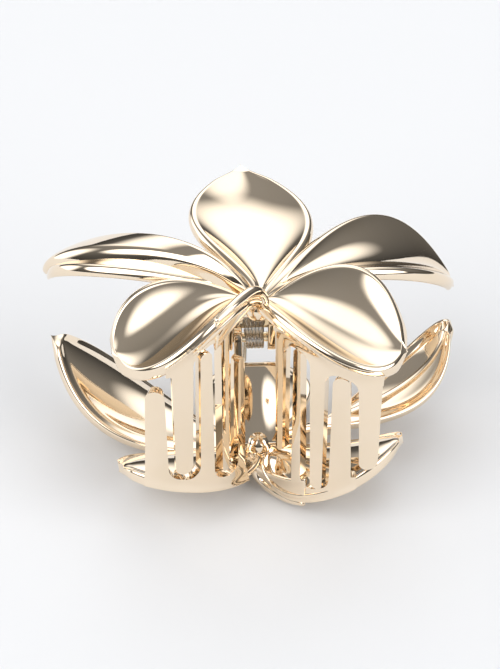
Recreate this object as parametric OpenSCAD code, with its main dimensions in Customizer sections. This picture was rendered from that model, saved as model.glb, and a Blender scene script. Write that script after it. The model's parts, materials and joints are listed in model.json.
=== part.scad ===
// Flower claw clip for hair: two identical cast jaws, each a five-petalled flower over a
// comb of teeth, one turned half round against the other on a sprung hinge.
// Frame: X along the hinge pin, Y from the teeth to the thumb rests, Z up, origin in the
// middle of the pin. The clip is closed and lies on its lower flower.

/* [Flower] */
// Height of the flower's heart above the plane where the jaws meet
heart_height = 19.5; // [16:0.5:24]
// Distance from the pin forward to the flower's heart
heart_reach = 15; // [12:0.5:18]
// Thickness of a petal and diameter of its rim
petal_wall = 2; // [1.6:0.1:2.8]
// Radius of the solid heart that the petals grow from
heart_r = 3.2; // [2.6:0.1:4]

/* [Back petals, the thumb rests] */
// Length from the heart to the tip
back_length = 40; // [33:0.5:48]
// Width where the petal is widest
back_width = 24; // [20:0.5:29]
// Height of the tip above the heart
back_rise = 6.5; // [4:0.5:9]
// Depth of the hollow
back_hollow = 5; // [3:0.5:6]

/* [Long side petals] */
// Sideways distance from the heart to the tip
long_reach = 42; // [35:0.5:50]
// Distance that the tip lies behind the heart
long_sweep = 27; // [23:0.5:32]
// Height of the left tip above the plane where the jaws meet
left_tip_height = 7.5; // [6:0.5:9]
// Height of the right tip above the plane where the jaws meet
right_tip_height = 4.5; // [3.5:0.5:6]
// Depth of the hollow
long_hollow = 4.5; // [3:0.5:6]

/* [Round front petals] */
// Sideways distance from the heart to the tip
round_reach = 29; // [24:0.5:34]
// Height of the tip above the plane where the jaws meet
round_tip_height = 13; // [11:0.5:16]
// How far the front rim swings forward of the heart
round_bulge = 26.5; // [22:0.5:30]
// Depth of the hollow
round_hollow = 6; // [4:0.5:7]

/* [Combs] */
// Thickness of the comb's wall
comb_wall = 2; // [1.6:0.1:2.2]
// Width of a tooth at its root
tooth_width = 4.6; // [3.6:0.1:5]
// Width of a tooth at its tip
tooth_tip = 3.6; // [2.8:0.1:3.6]
// Height of the band between the rim and the slots
band_height = 3.2; // [2.4:0.1:4]
// Gap between a tooth's tip and the end of its slot
tip_gap = 0.8; // [0.5:0.1:1.5]

/* [Hinge] */
// Diameter of the pin
pin_d = 2; // [1.5:0.1:2.4]
// Radial clearance of the pin in the lugs
pin_clearance = 0.05; // [0.02:0.01:0.1]
// Outer diameter of the boss on each lug
boss_d = 5.4; // [4.6:0.1:6.4]
// Thickness of a lug
lug_wall = 1.8; // [1.4:0.1:2.4]
// Side gap between one jaw's lug and the other's
lug_gap = 0.2; // [0.1:0.05:0.4]
// Thickness of the arm that carries the flower
arm_wall = 2.4; // [1.8:0.1:3]

/* [Spring] */
// Diameter of the spring wire
wire_d = 0.9; // [0.7:0.1:1.2]
// Outer diameter of the coil
coil_d = 4.8; // [4:0.1:5.4]
// Turns in the coil
coil_turns = 5; // [4:1:8]

/* [Hidden] */

gold = "#e6d8bd";
steel = "#b9b5ac";
far = 90;
rim_r = petal_wall / 2;

// ---- Curves ----
function bezier(p, t) = let (s = 1 - t)
    s * s * s * p[0] + 3 * s * s * t * p[1] + 3 * s * t * t * p[2] + t * t * t * p[3];
function slope(p, t) = let (s = 1 - t)
    3 * (s * s * (p[1] - p[0]) + 2 * s * t * (p[2] - p[1]) + t * t * (p[3] - p[2]));
function flat(p) = [p[0], p[1]];

// Each petal is three curves out of the heart, given from the heart itself: its two
// rims and the keel between them, which lies deeper by the hollow.
root = [0, 0.5, -1.5];
function rim(p1, p2, tip) = [root, p1, p2, tip];
function keel(a, b, near, deep) = [root, (a[1] + b[1]) / 2 + near, (a[2] + b[2]) / 2 + deep, a[3]];

back_tip = [-1.5, back_length, back_rise];
back_left = rim([-0.7, back_length * 0.27, 5], [-1.12 * back_width, back_length * 0.64, 1.2], back_tip);
back_right = rim([6.2, back_length * 0.24, 4.6], [1.02 * back_width, back_length * 0.61, 2.1], back_tip);
back_keel = keel(back_left, back_right, [0, 0, -0.8 * back_hollow], [0, 0, -0.9 * back_hollow]);

left_tip = [-long_reach, long_sweep + 2.2, left_tip_height - heart_height];
left_back = rim([-0.22 * long_reach, 13.2, 16], [-0.97 * long_reach, 1.44 * long_sweep, -10], left_tip);
left_front = rim([-0.24 * long_reach, 12.5, -1.4], [-1.04 * long_reach, 0.2 * long_sweep, 8], left_tip);
left_keel = keel(left_back, left_front, [1, 0, -0.8 * long_hollow], [1.1, -0.4, -0.7] * long_hollow);

right_tip = [long_reach, long_sweep - 2.8, right_tip_height - heart_height];
right_back = rim([0.28 * long_reach, 12.7, 7.6], [0.7 * long_reach, 1.68 * long_sweep, 4.2], right_tip);
right_front = rim([0.19 * long_reach, 6.8, 4.4], [0.92 * long_reach, 0, 6.4], right_tip);
right_keel = keel(right_back, right_front, [-1, 0, -0.8 * long_hollow], [-1.1, -0.4, -0.7] * long_hollow);

front_left_tip = [-round_reach, -6, round_tip_height - heart_height - 0.7];
front_left_back = rim([-0.56 * round_reach, 6.9, 8], [-1.04 * round_reach, 5.8, 0.4], front_left_tip);
front_left_near = rim([-2.9, -8.3, 11.9], [-0.72 * round_reach, -round_bulge, -10.9], front_left_tip);
front_left_keel = keel(front_left_back, front_left_near, [0, 0, -1.1 * round_hollow], [0.3, 0.4, -0.6] * round_hollow);

front_right_tip = [round_reach - 0.5, -10.5, round_tip_height - heart_height + 0.7];
front_right_back = rim([0.48 * round_reach, 6.4, 8.2], [0.94 * round_reach, 10, 6], front_right_tip);
front_right_near = rim([-1.7, -5.1, 7.2], [0.69 * round_reach, -round_bulge, -10.8], front_right_tip);
front_right_keel = keel(front_right_back, front_right_near, [0, 0, -0.9 * round_hollow], [-0.3, 0.3, -0.8] * round_hollow);

// ---- Petals ----
petal_steps = 18;
across_steps = 10;
petal_start = 0.08;
// Near its root a narrow petal is thinner: half its wall is at most this share of its width
root_share = 0.2;

function surface_point(c, u, v) =
    let (l = bezier(c[0], u), k = bezier(c[1], u), r = bezier(c[2], u))
    k + v * (r - l) / 2 + v * v * ((l + r) / 2 - k);
function surface_normal(c, u, v) =
    let (l = bezier(c[0], u), k = bezier(c[1], u), r = bezier(c[2], u),
         across = (r - l) / 2 + 2 * v * ((l + r) / 2 - k),
         along = slope(c[1], u) + v * (slope(c[2], u) - slope(c[0], u)) / 2
                 + v * v * ((slope(c[0], u) + slope(c[2], u)) / 2 - slope(c[1], u)),
         n = cross(across, along))
    n / norm(n);
// Half the wall, rounded off to nothing at the rim
function half_wall(depth) = let (d = min(depth, rim_r)) sqrt(rim_r * rim_r - (rim_r - d) * (rim_r - d));

function petal_ring(c, u) =
    let (v = [for (j = [0:across_steps]) -cos(180 * j / across_steps)],
         p = [for (x = v) surface_point(c, u, x)],
         n = [for (x = v) surface_normal(c, u, x)],
         thickest = norm(p[0] - p[across_steps]) * root_share,
         h = [for (q = p) min(thickest, half_wall(min(norm(q - p[0]), norm(q - p[across_steps]))))])
    concat([for (j = [0:across_steps - 1]) p[j] + h[j] * n[j]],
           [for (j = [across_steps:-1:1]) p[j] - h[j] * n[j]]);

// Solid petal from its left rim, keel and right rim. It starts inside the heart.
module petal(left, middle, right) {
    c = [left, middle, right];
    ring = 2 * across_steps;
    rings = petal_steps - 1;
    times = [for (i = [1:rings]) petal_start + (1 - petal_start) * (1 - cos(180 * (i - 1) / rings)) / 2];
    points = concat([bezier(middle, petal_start)], [for (t = times) each petal_ring(c, t)], [left[3]]);
    last = len(points) - 1;
    faces = concat(
        [for (j = [0:ring - 1]) [0, 1 + j, 1 + (j + 1) % ring]],
        [for (i = [0:rings - 2], j = [0:ring - 1])
            let (a = 1 + i * ring + j, b = 1 + i * ring + (j + 1) % ring)
            each [[a, b + ring, b], [a, a + ring, b + ring]]],
        [for (j = [0:ring - 1]) [last, last - ring + (j + 1) % ring, last - ring + j]]);
    polyhedron(points, faces);
}

// Seam between two neighbouring petals: midway between their rims, seen from above
function seam(a, b) = let (q = [for (t = [0.15, 0.3, 0.45, 0.6]) flat(bezier(a, t) + bezier(b, t)) / 2])
    concat(q, [q[3] + far * (q[3] - q[2]) / norm(q[3] - q[2])]);
function backward(p) = [for (i = [len(p) - 1:-1:0]) p[i]];
module sector(a, b) {
    linear_extrude(far, center = true) polygon(concat([[0, 0]], a, backward(b)));
}
// Solid heart, its poles square to the arm that carries it
module heart_ball() {
    translate([0, 0.3, -2.2]) rotate([-arm_slope, 0, 0]) rotate([0, 0, 90]) sphere(r = heart_r, $fn = 48);
}
// Petal cut off at its seams and seated on the heart
module seated(seam_a, seam_b) {
    difference() {
        intersection() {
            children();
            sector(seam_a, seam_b);
        }
        heart_ball();
    }
}
module back_shape() { petal(back_left, back_keel, back_right); }
module left_long_shape() { petal(left_front, left_keel, left_back); }
module right_long_shape() { petal(right_back, right_keel, right_front); }
module left_round_shape() { petal(front_left_near, front_left_keel, front_left_back); }
module right_round_shape() { petal(front_right_back, front_right_keel, front_right_near); }

seam_front = seam(front_left_near, front_right_near);
seam_right = seam(front_right_back, right_front);
seam_back_right = seam(right_back, back_right);
seam_back_left = seam(back_left, left_back);
seam_left = seam(left_front, front_left_back);

module back_petal() { color(gold) seated(seam_back_right, seam_back_left) back_shape(); }
module left_long_petal() { color(gold) seated(seam_back_left, seam_left) left_long_shape(); }
module right_long_petal() { color(gold) seated(seam_right, seam_back_right) right_long_shape(); }
module left_round_petal() { color(gold) seated(seam_left, seam_front) left_round_shape(); }
module right_round_petal() { color(gold) seated(seam_front, seam_right) right_round_shape(); }

// ---- Combs: each hangs straight down from the front rim of its round petal ----
comb_proud = 0.4;
band_sink = 0.5;
middle_tooth_end = -11.5;
left_comb_span = [3, 18.6];
right_comb_span = [2.9, 23.2];
// Teeth stand at five places out from the middle, and the two jaws take turns
tooth_places = [4, 7.2, 10.9, 15.4, 20.8];
// Those nearest the middle are narrower, as shares of the full width
tooth_shares = [0.5, 0.5, 0.72, 0.95, 1];
// Where a curve reaches a sideways distance x, found by halving
function reach_time(p, x, lo = 0.12, hi = 0.95, n = 18) = n == 0 ? (lo + hi) / 2 :
    let (m = (lo + hi) / 2)
    abs(bezier(p, m)[0]) < x ? reach_time(p, x, m, hi, n - 1) : reach_time(p, x, lo, m, n - 1);
function rim_height(p, x) = heart_height + bezier(p, reach_time(p, x))[2];

// Wall of the comb seen from above, from curve time t0 to t1
module comb_path(near, t0, t1) {
    n = 20;
    t = [for (i = [0:n]) t0 + (t1 - t0) * i / n];
    out = [for (x = t) let (d = flat(slope(near, x)), m = [d[1], -d[0]] / norm(d)) m[1] < 0 ? m : -m];
    q = [for (x = t) flat(bezier(near, x))];
    polygon(concat([for (i = [0:n]) q[i] + out[i] * comb_proud],
                   [for (i = [n:-1:0]) q[i] + out[i] * (comb_proud - comb_wall)]));
}
// Front view of the band under the rim. Its top edge lies inside the rim.
module band_outline(near, t0, t1) {
    n = 20;
    q = [for (i = [-1:n + 1]) let (p = bezier(near, t0 + (t1 - t0) * i / n)) [p[0], p[2]]];
    polygon(concat([for (i = [0:n + 2]) q[i] - [0, band_sink]], [for (i = [n + 2:-1:0]) q[i] - [0, band_height]]));
}
// Puts a front-view outline on the rim at sideways distance x, square to the wall
module on_rim(near, x) {
    t = reach_time(near, x);
    p = bezier(near, t);
    d = slope(near, t);
    translate([p[0], p[1], 0]) rotate([90, 0, atan2(d[1], d[0])])
        linear_extrude(3 * comb_wall, center = true) children();
}
module tooth_outline(share, top, tip) {
    r = share * tooth_tip / 2;
    half = share * tooth_width / 2;
    polygon([[-half, top], [-r, tip + r], [r, tip + r], [half, top]]);
    translate([0, tip + r]) circle(r = r, $fn = 32);
}
// Comb under a rim: the numbers of its tooth places, where each tooth ends, and the
// curve times between which it runs. The petal above it is cut out of it.
module comb(near, teeth, ends, t0, t1) {
    difference() {
        intersection() {
            linear_extrude(far, center = true) comb_path(near, t0, t1);
            union() {
                rotate([90, 0, 0]) linear_extrude(far, center = true) band_outline(near, t0, t1);
                for (i = [0:len(teeth) - 1]) let (k = teeth[i], x = tooth_places[k]) on_rim(near, x)
                    tooth_outline(tooth_shares[k], rim_height(near, x) - heart_height - 1.5, ends[i]);
            }
        }
        children();
    }
}
// A tooth ends just short of the slot in the facing comb
function tooth_end(facing, k) = band_height + tip_gap - rim_height(facing, tooth_places[k]) - heart_height;

module left_comb() {
    near = front_left_near;
    comb(near, [1, 3], [for (k = [1, 3]) tooth_end(front_right_near, k)],
         reach_time(near, left_comb_span[0]), reach_time(near, left_comb_span[1])) left_round_shape();
}
module right_comb() {
    near = front_right_near;
    comb(near, [0, 2, 4], [middle_tooth_end - heart_height, for (k = [2, 4]) tooth_end(front_left_near, k)],
         reach_time(near, right_comb_span[0]), reach_time(near, right_comb_span[1])) right_round_shape();
}

// The flower stands on its jaw, with the heart as its own origin
module flower() { translate([0, -heart_reach, heart_height]) children(); }
// The lower jaw is the upper one turned half round, so its left is the upper's right
module turned() { rotate([0, 180, 0]) children(); }

// ---- Hinge ----
coil_length = coil_turns * wire_d;
inner_x = coil_length / 2 + 0.3;
outer_x = inner_x + lug_wall + lug_gap;
pin_hole_r = pin_d / 2 + pin_clearance;
boss_r = boss_d / 2;
pin_head_wall = 0.8;

// The arm slants from the heart down to the hinge. Its ends, seen from the side:
arm_start = [-heart_reach + 0.3, heart_height - 2.6];
arm_end = [-2, boss_r + 2.3];
arm_slope = atan2(arm_start[1] - arm_end[1], arm_end[0] - arm_start[0]);
arm_half = outer_x + lug_wall;
function on_arm(share) = arm_start + share * (arm_end - arm_start);

module arm_outline() {
    d = (arm_end - arm_start) / norm(arm_end - arm_start);
    n = [-d[1], d[0]] * arm_wall / 2;
    polygon([arm_start + n, arm_start - n, arm_end - n, arm_end + n]);
}
module arm_plate() { rotate([90, 0, 90]) linear_extrude(2 * arm_half, center = true) arm_outline(); }
module arm() {
    color(gold) {
        arm_plate();
        flower() heart_ball();
    }
}
// Lug between the arm and the pin, from x outward
module lug(x) {
    color(gold) difference() {
        translate([x, 0, 0]) union() {
            rotate([0, 90, 0]) cylinder(r = boss_r, h = lug_wall, $fn = 48);
            rotate([90, 0, 90]) linear_extrude(lug_wall)
                polygon([[-boss_r * 0.9, -boss_r * 0.4], on_arm(0.6), arm_end, [boss_r * 0.6, boss_r * 0.75]]);
        }
        rotate([0, 90, 0]) cylinder(r = pin_hole_r, h = far, center = true, $fn = 48);
        arm_plate();
    }
}
module left_lug() { lug(-outer_x - lug_wall); }
module right_lug() { lug(inner_x); }

module hinge_pin() {
    half = arm_half + lug_gap;
    color(steel) rotate([0, 90, 0]) {
        cylinder(d = pin_d, h = 2 * half, center = true, $fn = 48);
        for (end = [-1, 1]) translate([0, 0, end * (half + pin_head_wall / 2)])
            cylinder(d = pin_d * 1.6, h = pin_head_wall, center = true, $fn = 48);
    }
}

// ---- Spring: a coil round the pin, with one leg under each thumb rest ----
coil_r = (coil_d - wire_d) / 2;
leg_end = [9.5, heart_height - 6.5];
// Neighbouring turns lie a little into each other, so that the coil is one solid
pitch = wire_d * 0.94;
// The legs are slimmer than the coil's wire and leave from just inside it
leg_d = wire_d * 0.9;
leg_r = coil_r * 0.96;
module spring_leg(x) {
    reach = norm(leg_end);
    lean = atan2(leg_end[1], leg_end[0]) + asin(leg_r / reach);
    translate([x, 0, 0]) rotate([lean - 90, 0, 0]) translate([0, leg_r, 0])
        cylinder(d = leg_d, h = sqrt(reach * reach - leg_r * leg_r), $fn = 24);
}
module torsion_spring() {
    side = (coil_turns - 1) / 2 * pitch;
    color(steel) {
        rotate([0, 90, 0]) rotate_extrude($fn = 48) for (i = [0:coil_turns - 1])
            translate([coil_r, (i - (coil_turns - 1) / 2) * pitch]) circle(d = wire_d, $fn = 20);
        spring_leg(side);
        rotate([0, 180, 0]) spring_leg(side);
    }
}

arm();  // upper_arm
left_lug();  // upper_left_lug
right_lug();  // upper_right_lug
flower() back_petal();  // upper_back_petal
flower() left_long_petal();  // upper_left_long_petal
flower() right_long_petal();  // upper_right_long_petal
flower() left_round_petal();  // upper_left_round_petal
flower() right_round_petal();  // upper_right_round_petal
flower() left_comb();  // upper_left_comb
flower() right_comb();  // upper_right_comb
turned() arm();  // lower_arm
turned() right_lug();  // lower_left_lug
turned() left_lug();  // lower_right_lug
turned() flower() back_petal();  // lower_back_petal
turned() flower() right_long_petal();  // lower_left_long_petal
turned() flower() left_long_petal();  // lower_right_long_petal
turned() flower() right_round_petal();  // lower_left_round_petal
turned() flower() left_round_petal();  // lower_right_round_petal
turned() flower() right_comb();  // lower_left_comb
turned() flower() left_comb();  // lower_right_comb
hinge_pin();
torsion_spring();
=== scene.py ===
# %% [markdown]
# # A sprung flower claw clip in polished pale gold
#
# A claw clip for hair is two cast metal jaws, a pin and a spring. Here each jaw is a
# flower of five petals over a comb of teeth, and the second jaw is the first one turned
# half round. The metal is polished and plated, so nearly everything that the eye
# sees is a reflection, and a reflection shows the smallest kink in a surface. That is
# why each petal is built again here from its own rule, smooth and with a rounded rim,
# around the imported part, which gives every place, size and movement.

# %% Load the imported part
import json
import math

import bmesh
import bpy
import numpy as np
from mathutils import Matrix, Vector


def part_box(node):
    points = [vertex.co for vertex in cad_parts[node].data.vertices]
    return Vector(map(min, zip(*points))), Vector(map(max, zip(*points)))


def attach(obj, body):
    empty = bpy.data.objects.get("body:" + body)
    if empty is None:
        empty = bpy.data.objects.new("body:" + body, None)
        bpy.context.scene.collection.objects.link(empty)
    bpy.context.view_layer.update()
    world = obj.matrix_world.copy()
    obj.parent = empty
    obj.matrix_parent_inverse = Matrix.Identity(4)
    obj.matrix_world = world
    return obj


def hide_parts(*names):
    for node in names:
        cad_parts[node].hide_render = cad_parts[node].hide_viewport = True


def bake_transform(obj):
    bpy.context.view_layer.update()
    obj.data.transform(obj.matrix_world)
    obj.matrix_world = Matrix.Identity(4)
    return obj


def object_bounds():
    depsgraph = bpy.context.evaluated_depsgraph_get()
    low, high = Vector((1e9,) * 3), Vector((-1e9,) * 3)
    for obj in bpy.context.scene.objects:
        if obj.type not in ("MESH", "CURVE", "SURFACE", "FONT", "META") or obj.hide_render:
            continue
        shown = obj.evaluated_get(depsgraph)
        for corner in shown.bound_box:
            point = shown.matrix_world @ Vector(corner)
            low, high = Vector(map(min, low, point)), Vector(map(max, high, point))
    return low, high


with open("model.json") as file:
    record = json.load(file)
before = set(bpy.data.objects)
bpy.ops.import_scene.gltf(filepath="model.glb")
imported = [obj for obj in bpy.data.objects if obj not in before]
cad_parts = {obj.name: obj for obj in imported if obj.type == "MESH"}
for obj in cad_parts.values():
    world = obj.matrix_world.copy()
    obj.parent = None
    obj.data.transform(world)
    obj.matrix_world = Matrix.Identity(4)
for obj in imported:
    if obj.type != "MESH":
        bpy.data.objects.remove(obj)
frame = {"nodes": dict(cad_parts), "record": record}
cad_low, cad_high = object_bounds()
MM = 0.001
print("box in mm:", [round(v / MM, 1) for v in (*cad_low, *cad_high)])

# %% [markdown]
# # Where the flower stands
#
# All the petals grow out of one heart. The hinge pin lies at the origin, the heart in
# front of it and above, where the arm ends in a ball. The lower flower needs no numbers
# of its own, because a half turn about the front-to-back line carries the upper one
# onto it.

# %% Heart and half turn
HEART_MM = Vector((0, -15, 19.5))
HEART = HEART_MM * MM
TO_METRES = Matrix.Scale(MM, 4)
HALF_TURN = Matrix.Rotation(math.pi, 4, "Y")
BODIES = {"upper": "upper_jaw", "lower": "lower_jaw"}
_, arm_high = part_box("upper_arm")
print("top of the arm's ball above the heart, mm:", round((arm_high.z - HEART.z) / MM, 2))


def upper_name(side, left_or_right):
    """A feature's name in a jaw: the turned jaw's left is the upper one's right."""
    if side == "upper":
        return left_or_right
    return {"left": "right", "right": "left", "": ""}[left_or_right]


# %% [markdown]
# # The plated finish
#
# Pale gold plate is a mirror with a warm tint. A perfect mirror looks like glass or
# plastic, though: the real one has a casting's slow waves under the polish, a faint
# haze that comes and goes where fingers and cloths have been, and hairline wiping
# marks. These three are one node group with named inputs, so the pin and the spring can
# wear the same marks more strongly. The group puts out values only, and each material
# keeps its own shader.

# %% Node helpers
def node(tree, kind, inputs=None, **settings):
    """Adds a node. An input may be a plain value or another node's output."""
    made = tree.nodes.new(kind)
    for key, value in settings.items():
        setattr(made, key, value)
    for key, value in (inputs or {}).items():
        if isinstance(value, bpy.types.NodeSocket):
            tree.links.new(value, made.inputs[key])
        else:
            made.inputs[key].default_value = value
    return made


def sockets(tree, inputs=(), outputs=()):
    """Names a group's sockets: (name, kind) or (name, kind, starting value)."""
    for direction, entries in (("INPUT", inputs), ("OUTPUT", outputs)):
        for name, kind, *start in entries:
            made = tree.interface.new_socket(name=name, in_out=direction, socket_type="NodeSocket" + kind)
            if start:
                made.default_value = start[0]


def maths(tree, operation, *values):
    """One step of arithmetic."""
    return node(tree, "ShaderNodeMath", dict(enumerate(values)), operation=operation).outputs[0]


# %% Marks of casting, polishing and handling
MARK_INPUTS = ("Least Roughness", "Most Roughness", "Wave Height", "Scratch Height")
HAZE_SCALE, HAZE_FROM, HAZE_TO = 95.0, 0.38, 0.68
WAVE_SCALE = 130.0
WIPING_TURN, WIPING_SCALE = (0.4, 0.7, 0.9), (9000.0, 500.0, 9000.0)
SCRATCH_FROM, SCRATCH_TO = 0.62, 0.8

marks = bpy.data.node_groups.new("plate marks", "ShaderNodeTree")
sockets(
    marks,
    [(name, "Float") for name in MARK_INPUTS],
    [("Roughness", "Float"), ("Height", "Float"), ("Haze", "Float")],
)
given = marks.nodes.new("NodeGroupInput").outputs
place = node(marks, "ShaderNodeTexCoord").outputs["Object"]
haze_noise = node(
    marks, "ShaderNodeTexNoise", {"Vector": place, "Scale": HAZE_SCALE, "Detail": 4.0, "Roughness": 0.6}
)
haze = node(
    marks,
    "ShaderNodeMapRange",
    {"Value": haze_noise.outputs["Fac"], "From Min": HAZE_FROM, "From Max": HAZE_TO},
)
spread = maths(marks, "SUBTRACT", given["Most Roughness"], given["Least Roughness"])
roughness = maths(marks, "MULTIPLY_ADD", haze.outputs["Result"], spread, given["Least Roughness"])
waves = node(marks, "ShaderNodeTexNoise", {"Vector": place, "Scale": WAVE_SCALE, "Detail": 1.0})
wiping = node(
    marks, "ShaderNodeMapping", {"Vector": place, "Rotation": WIPING_TURN, "Scale": WIPING_SCALE}
)
scratch_noise = node(
    marks, "ShaderNodeTexNoise", {"Vector": wiping.outputs["Vector"], "Scale": 1.0, "Detail": 2.0}
)
scratches = node(
    marks,
    "ShaderNodeMapRange",
    {"Value": scratch_noise.outputs["Fac"], "From Min": SCRATCH_FROM, "From Max": SCRATCH_TO},
)
height = maths(
    marks,
    "MULTIPLY_ADD",
    scratches.outputs["Result"],
    given["Scratch Height"],
    maths(marks, "MULTIPLY", waves.outputs["Fac"], given["Wave Height"]),
)
node(
    marks,
    "NodeGroupOutput",
    {"Roughness": roughness, "Height": height, "Haze": haze.outputs["Result"]},
)
print("group", marks.name, "gives", [s.name for s in marks.interface.items_tree if s.in_out == "OUTPUT"])


# %% Metals
def metal(name, clean, hazed, least, most, wave, scratch):
    """A metal whose colour shifts a little from clean to hazed."""
    material = bpy.data.materials.new(name)
    material.use_nodes = True
    tree = material.node_tree
    shader = tree.nodes["Principled BSDF"]
    shader.inputs["Metallic"].default_value = 1.0
    group = node(tree, "ShaderNodeGroup", node_tree=marks)
    for key, value in zip(MARK_INPUTS, (least, most, wave, scratch)):
        group.inputs[key].default_value = value
    tint = node(tree, "ShaderNodeMix", {"Factor": group.outputs["Haze"]}, data_type="RGBA")
    ends = [socket for socket in tint.inputs if socket.type == "RGBA"]
    for socket, colour in zip(ends, (clean, hazed)):
        socket.default_value = (*colour, 1)
    bump = node(
        tree, "ShaderNodeBump", {"Height": group.outputs["Height"], "Strength": 1.0, "Distance": MM}
    )
    result = next(socket for socket in tint.outputs if socket.type == "RGBA")
    tree.links.new(result, shader.inputs["Base Color"])
    tree.links.new(group.outputs["Roughness"], shader.inputs["Roughness"])
    tree.links.new(bump.outputs["Normal"], shader.inputs["Normal"])
    return material


# Colour where clean, colour where hazed, least and most roughness, height of waves and of scratches in mm
GOLD = metal("pale gold plate", (0.93, 0.786, 0.612), (0.915, 0.765, 0.58), 0.03, 0.075, 0.02, 0.0006)
PIN_METAL = metal("gold plated pin", (0.9, 0.77, 0.57), (0.86, 0.72, 0.5), 0.1, 0.2, 0.01, 0.002)
SPRING_STEEL = metal("spring steel", (0.56, 0.55, 0.53), (0.46, 0.44, 0.41), 0.16, 0.3, 0.0, 0.004)

# %% [markdown]
# # Petals
#
# A petal here is a rule, not a sculpture: three curves run out of the heart to the tip,
# the two rims and the keel between them, which lies deeper. Across the petal the
# section is an arch through the three. Geometry nodes suit such a rule. A flat grid
# carries how far along and how far across each point is, a small group works out where
# it belongs, and the sheet then gets a wall that rounds off to nothing at the rims,
# with a slightly fuller bead along them, as the casting has. Sculpting could hardly
# keep five different petals this smooth, and here one tree serves all of them.

# %% The rule for a point on a petal
CONTROLS = ["Left Near", "Left Far", "Keel Near", "Keel Far", "Right Near", "Right Far"]


def vectors(tree, operation, *values):
    """One step of vector arithmetic. It gives a number where the operation does."""
    made = node(tree, "ShaderNodeVectorMath", {}, operation=operation)
    for index, value in enumerate(values):
        socket = made.inputs["Scale"] if operation == "SCALE" and index == 1 else made.inputs[index]
        if isinstance(value, bpy.types.NodeSocket):
            tree.links.new(value, socket)
        else:
            socket.default_value = value
    return made.outputs["Value" if operation in ("DISTANCE", "LENGTH", "DOT_PRODUCT") else "Vector"]


rule = bpy.data.node_groups.new("point on a petal", "GeometryNodeTree")
sockets(
    rule,
    [(name, "Float") for name in ("Along", "Across", "Hollow Share")]
    + [(name, "Vector") for name in ("Root", "Tip", *CONTROLS)],
    [("Point", "Vector")],
)
given = rule.nodes.new("NodeGroupInput").outputs
along, across = given["Along"], given["Across"]
back = maths(rule, "SUBTRACT", 1.0, along)


def arch(near_or_far):
    """The control point for this place across: between the rims, sunk towards the keel."""
    left, keel, right = (given[f"{part} {near_or_far}"] for part in ("Left", "Keel", "Right"))
    middle = vectors(rule, "SCALE", vectors(rule, "ADD", left, right), 0.5)
    half_across = maths(rule, "MULTIPLY", across, 0.5)
    lean = vectors(rule, "SCALE", vectors(rule, "SUBTRACT", right, left), half_across)
    inside = maths(rule, "SUBTRACT", 1.0, maths(rule, "MULTIPLY", across, across))
    sink = maths(rule, "MULTIPLY", inside, given["Hollow Share"])
    sunk = vectors(rule, "SCALE", vectors(rule, "SUBTRACT", keel, middle), sink)
    return vectors(rule, "ADD", vectors(rule, "ADD", middle, lean), sunk)


def weight(count, *factors):
    """A cubic curve's weight for one control point."""
    result = factors[0]
    for factor in factors[1:]:
        result = maths(rule, "MULTIPLY", result, factor)
    return maths(rule, "MULTIPLY", result, float(count))


parts = [
    vectors(rule, "SCALE", given["Root"], weight(1, back, back, back)),
    vectors(rule, "SCALE", arch("Near"), weight(3, back, back, along)),
    vectors(rule, "SCALE", arch("Far"), weight(3, back, along, along)),
    vectors(rule, "SCALE", given["Tip"], weight(1, along, along, along)),
]
total = parts[0]
for part in parts[1:]:
    total = vectors(rule, "ADD", total, part)
node(rule, "NodeGroupOutput", {"Point": total})
print("rule made of", len(rule.nodes), "nodes")

# %% [markdown]
# # From a sheet to a walled petal
#
# The tree lays the grid on the rule, notes which way the sheet faces, and moves one
# copy out and a flipped copy in by half the wall. Half the wall follows a quarter
# circle near the rims, so that the two copies meet there in a round edge, and they are
# merged. Rows crowd together towards the rims and the tip by a sine, because that is
# where the curvature is.

# %% Petal tree
PETAL_SIZES = {
    "Rows Along": 160, "Rows Across": 80, "Wall": 2.0, "Lip": 0.7, "Lip Width": 3.2, "Start": 0.02,
    "Tip Round": 0.1, "Fold": 0.0, "Fold From": -0.4, "Fold To": 0.1,
}
WALL_SHARE_OF_WIDTH = 0.2
LIP_NEAR_TIP, LIP_WHOLE = 0.3, 5.0
MERGE = 0.004

petal_tree = bpy.data.node_groups.new("petal", "GeometryNodeTree")
sockets(
    petal_tree,
    [("Geometry", "Geometry")]
    + [(name, "Int" if isinstance(size, int) else "Float", size) for name, size in PETAL_SIZES.items()]
    + [(name, "Vector") for name in ("Root", "Tip", *CONTROLS)]
    + [("Finish", "Material")],
    [("Geometry", "Geometry")],
)
given = petal_tree.nodes.new("NodeGroupInput").outputs


def t_maths(operation, *values):
    """Arithmetic in the petal tree."""
    return maths(petal_tree, operation, *values)


def squared(value):
    """A value times itself."""
    return t_maths("MULTIPLY", value, value)


def not_below_zero(value):
    """A root has to be taken of nothing less than zero, rounding errors included."""
    return t_maths("MAXIMUM", 0.0, value)


def eased(value, low, high, at_low=0.0, at_high=1.0):
    """Runs softly from one value to another."""
    inputs = {"Value": value, "From Min": low, "From Max": high, "To Min": at_low, "To Max": at_high}
    made = node(petal_tree, "ShaderNodeMapRange", inputs, interpolation_type="SMOOTHERSTEP")
    return made.outputs["Result"]


def on_petal(along, across, hollow_share):
    """Where the rule puts a point."""
    group = node(petal_tree, "GeometryNodeGroup", node_tree=rule)
    for name in ["Root", "Tip"] + CONTROLS:
        petal_tree.links.new(given[name], group.inputs[name])
    for name, value in (("Along", along), ("Across", across), ("Hollow Share", hollow_share)):
        if isinstance(value, float):
            group.inputs[name].default_value = value
        else:
            petal_tree.links.new(value, group.inputs[name])
    return group.outputs["Point"]


def fold_at(across):
    """Where a petal is folded, the far side of the fold arches up instead of down."""
    share = eased(across, given["Fold From"], given["Fold To"])
    return t_maths("SUBTRACT", 1.0, t_maths("MULTIPLY", share, given["Fold"]))


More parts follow.
